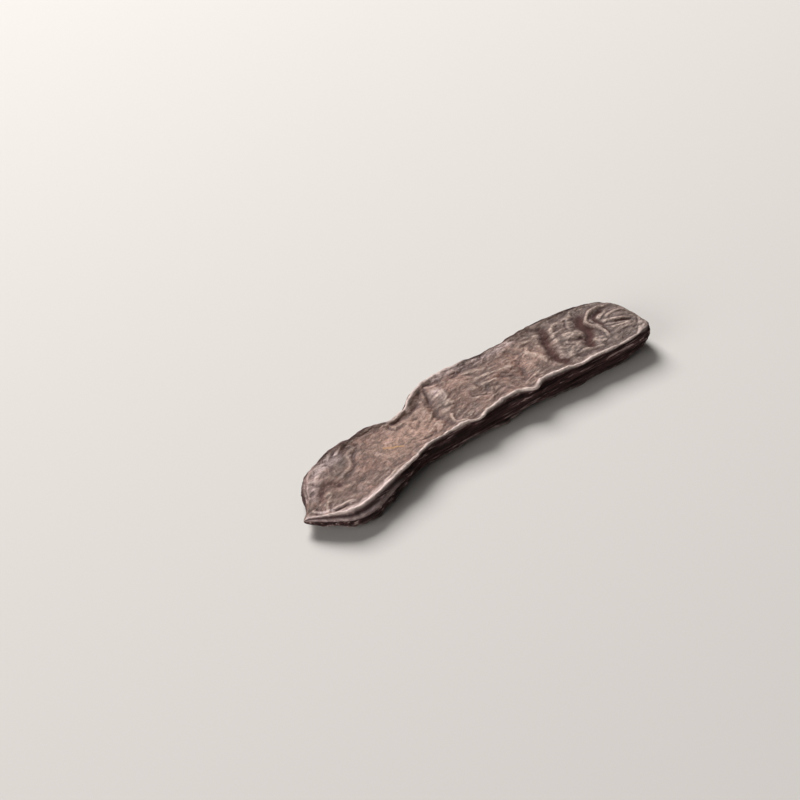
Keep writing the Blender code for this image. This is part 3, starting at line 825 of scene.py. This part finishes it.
# Painted shade in the deepest hollows
colour = blend(times(attribute("deep_shade"), spread(patch, 0.35, 0.6, 0.7, 0.95)), colour, HOLLOW_SHADE_RED)
colour = blend(spread(patch, 0.44, 0.66, 0.0, 0.60), colour, FIBRE_DARK)
colour = blend(spread(patch, 0.46, 0.26, 0.0, 0.30), colour, BLOOM_AND_SHEEN_MAUVE)
colour = blend(spread(fibre, 0.48, 0.62, 0.0, 0.60), colour, FIBRE_DARK)
colour = blend(spread(fibre, 0.44, 0.30, 0.0, 0.26), colour, RUBBED_AND_HIGHLIGHT)
colour = blend(spread(speck, 0.50, 0.64, 0.0, 0.30), colour, FIBRE_DARK)
colour = blend(spread(speck, 0.44, 0.32, 0.0, 0.18), colour, RUBBED_AND_HIGHLIGHT)
# Bloom with painted sheen
colour = blend(times(attribute("bloom_and_sheen"), spread(fibre, 0.42, 0.58, 1.0, 0.3)), colour, BLOOM_AND_SHEEN_MAUVE)
# Painted shade in broad hollows and in thin creases
colour = blend(times(attribute("hollow"), 0.75), colour, HOLLOW_SHADE_RED)
colour = blend(times(attribute("cleft"), 0.6), colour, HOLLOW_SHADE_RED)
# Edge colour: partly the edges' own dark brown, partly painted shade
edge_and_shade_colour = blend(spread(grain_line, 0.42, 0.54), EDGE_DARK_AND_SHADE, EDGE_BROWN)
edge_and_shade_colour = blend(times(attribute("edge_line"), spread(grain_line, 0.57, 0.63)), edge_and_shade_colour, EDGE_PALE)
colour = blend(attribute("edge"), colour, edge_and_shade_colour)
colour = blend(times(attribute("beak_edge"), spread(grain_line, 0.42, 0.58, 1.0, 0.4)), colour, BLOOM_AND_SHEEN_MAUVE)
# Ridges paled: rubbed wear with a painted highlight
colour = blend(times(attribute("worn_and_highlit"), spread(speck, 0.35, 0.6, 0.2, 0.9)), colour, RUBBED_AND_HIGHLIGHT)
# Painted highlight on the crests, with their wear
colour = blend(times(attribute("rim"), spread(patch, 0.38, 0.62, 1.0, 0.6)), colour, CREST_WEAR_AND_HIGHLIGHT)
colour = blend(attribute("fleck"), colour, FLECK_TAN)
colour = blend(attribute("scar"), colour, SCAR_TAN)
tree.links.new(colour, shader.inputs["Base Color"])

satin = spread(fibre, 0.3, 0.7, 0.38, 0.52)
matt = add(tree, "ShaderNodeMath", {0: attribute("deep_shade"), 1: attribute("edge")}, operation="MAXIMUM")
tree.links.new(spread(matt.outputs[0], 0.0, 1.0, satin, 0.9), shader.inputs["Roughness"])
shader.inputs["IOR"].default_value = 1.45
shader.inputs["Specular IOR Level"].default_value = 0.42
shader.inputs["Metallic"].default_value = 0.0
sharp_speck = spread(speck, 0.3, 0.7)
sharp_fibre = spread(fibre, 0.3, 0.7)
speck_bump = add(
    tree, "ShaderNodeBump", {"Height": sharp_speck, "Strength": 1.0, "Distance": 0.16 * MM}
).outputs[0]
fibre_bump = add(
    tree, "ShaderNodeBump",
    {"Height": sharp_fibre, "Strength": 1.0, "Distance": 0.26 * MM, "Normal": speck_bump},
).outputs[0]
tree.links.new(fibre_bump, shader.inputs["Normal"])
print("skin nodes:", len(tree.nodes))

# %% The finished pod
pod_mesh.shade_smooth()
pod_mesh.materials.append(skin)
pod = bpy.data.objects.new("carob_pod_skin", pod_mesh)
bpy.context.scene.collection.objects.link(pod)
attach(pod, "root")
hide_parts("carob_pod")

# %% [markdown]
# ## Table and light
#
# The pod lies on a plain pale surface. In the photograph a broad light stands behind and to the
# left, so the sunken face is lit across its wrinkles while the near edge falls into its own shade.
# A large soft lamp there gives the same. A weaker one at the front left brings out the pale lines of
# the near edge, and a faint sky keeps the shade open.

# %% Floor
FLOOR_COLOUR = "#c2bdb8"
FLOOR_SIZE = 3.0

floor_bm = bmesh.new()
bmesh.ops.create_grid(floor_bm, x_segments=1, y_segments=1, size=FLOOR_SIZE / 2)
floor_mesh = bpy.data.meshes.new("floor")
floor_bm.to_mesh(floor_mesh)
floor_bm.free()
floor_material, _, floor_shader = new_material("matt_pale_table")
floor_shader.inputs["Base Color"].default_value = linear(FLOOR_COLOUR)
floor_shader.inputs["Roughness"].default_value = 0.9
floor_mesh.materials.append(floor_material)
floor_object = bpy.data.objects.new("floor", floor_mesh)
bpy.context.scene.collection.objects.link(floor_object)

# %% Lamps and sky
KEY_FROM = ahead * 0.75 - right * 0.45 + Vector((0, 0, 0.75))
LAMP_DISTANCE = 2.2
KEY_SIZE = 1.1
KEY_POWER = 86.0
FILL_FROM = Vector((0, 0, 0.35)) - right * 0.7 - ahead * 0.7
FILL_SIZE = 1.4
FILL_POWER = 30.0
SKY_STRENGTH = 0.07


def area_lamp(name, direction, distance, size, power):
    data = bpy.data.lights.new(name, "AREA")
    data.size = size
    data.energy = power
    lamp = bpy.data.objects.new(name, data)
    lamp.location = direction.normalized() * distance
    lamp.rotation_euler = direction.to_track_quat("Z", "Y").to_euler()
    bpy.context.scene.collection.objects.link(lamp)
    return lamp


area_lamp("key_lamp", KEY_FROM, LAMP_DISTANCE, KEY_SIZE, KEY_POWER)
area_lamp("fill_lamp", FILL_FROM, LAMP_DISTANCE, FILL_SIZE, FILL_POWER)
sky = bpy.data.worlds.new("sky")
sky.use_nodes = True
sky.node_tree.nodes["Background"].inputs["Color"].default_value = linear("#ffffff")
sky.node_tree.nodes["Background"].inputs["Strength"].default_value = SKY_STRENGTH
bpy.context.scene.world = sky
bpy.context.scene.view_settings.view_transform = "Standard"
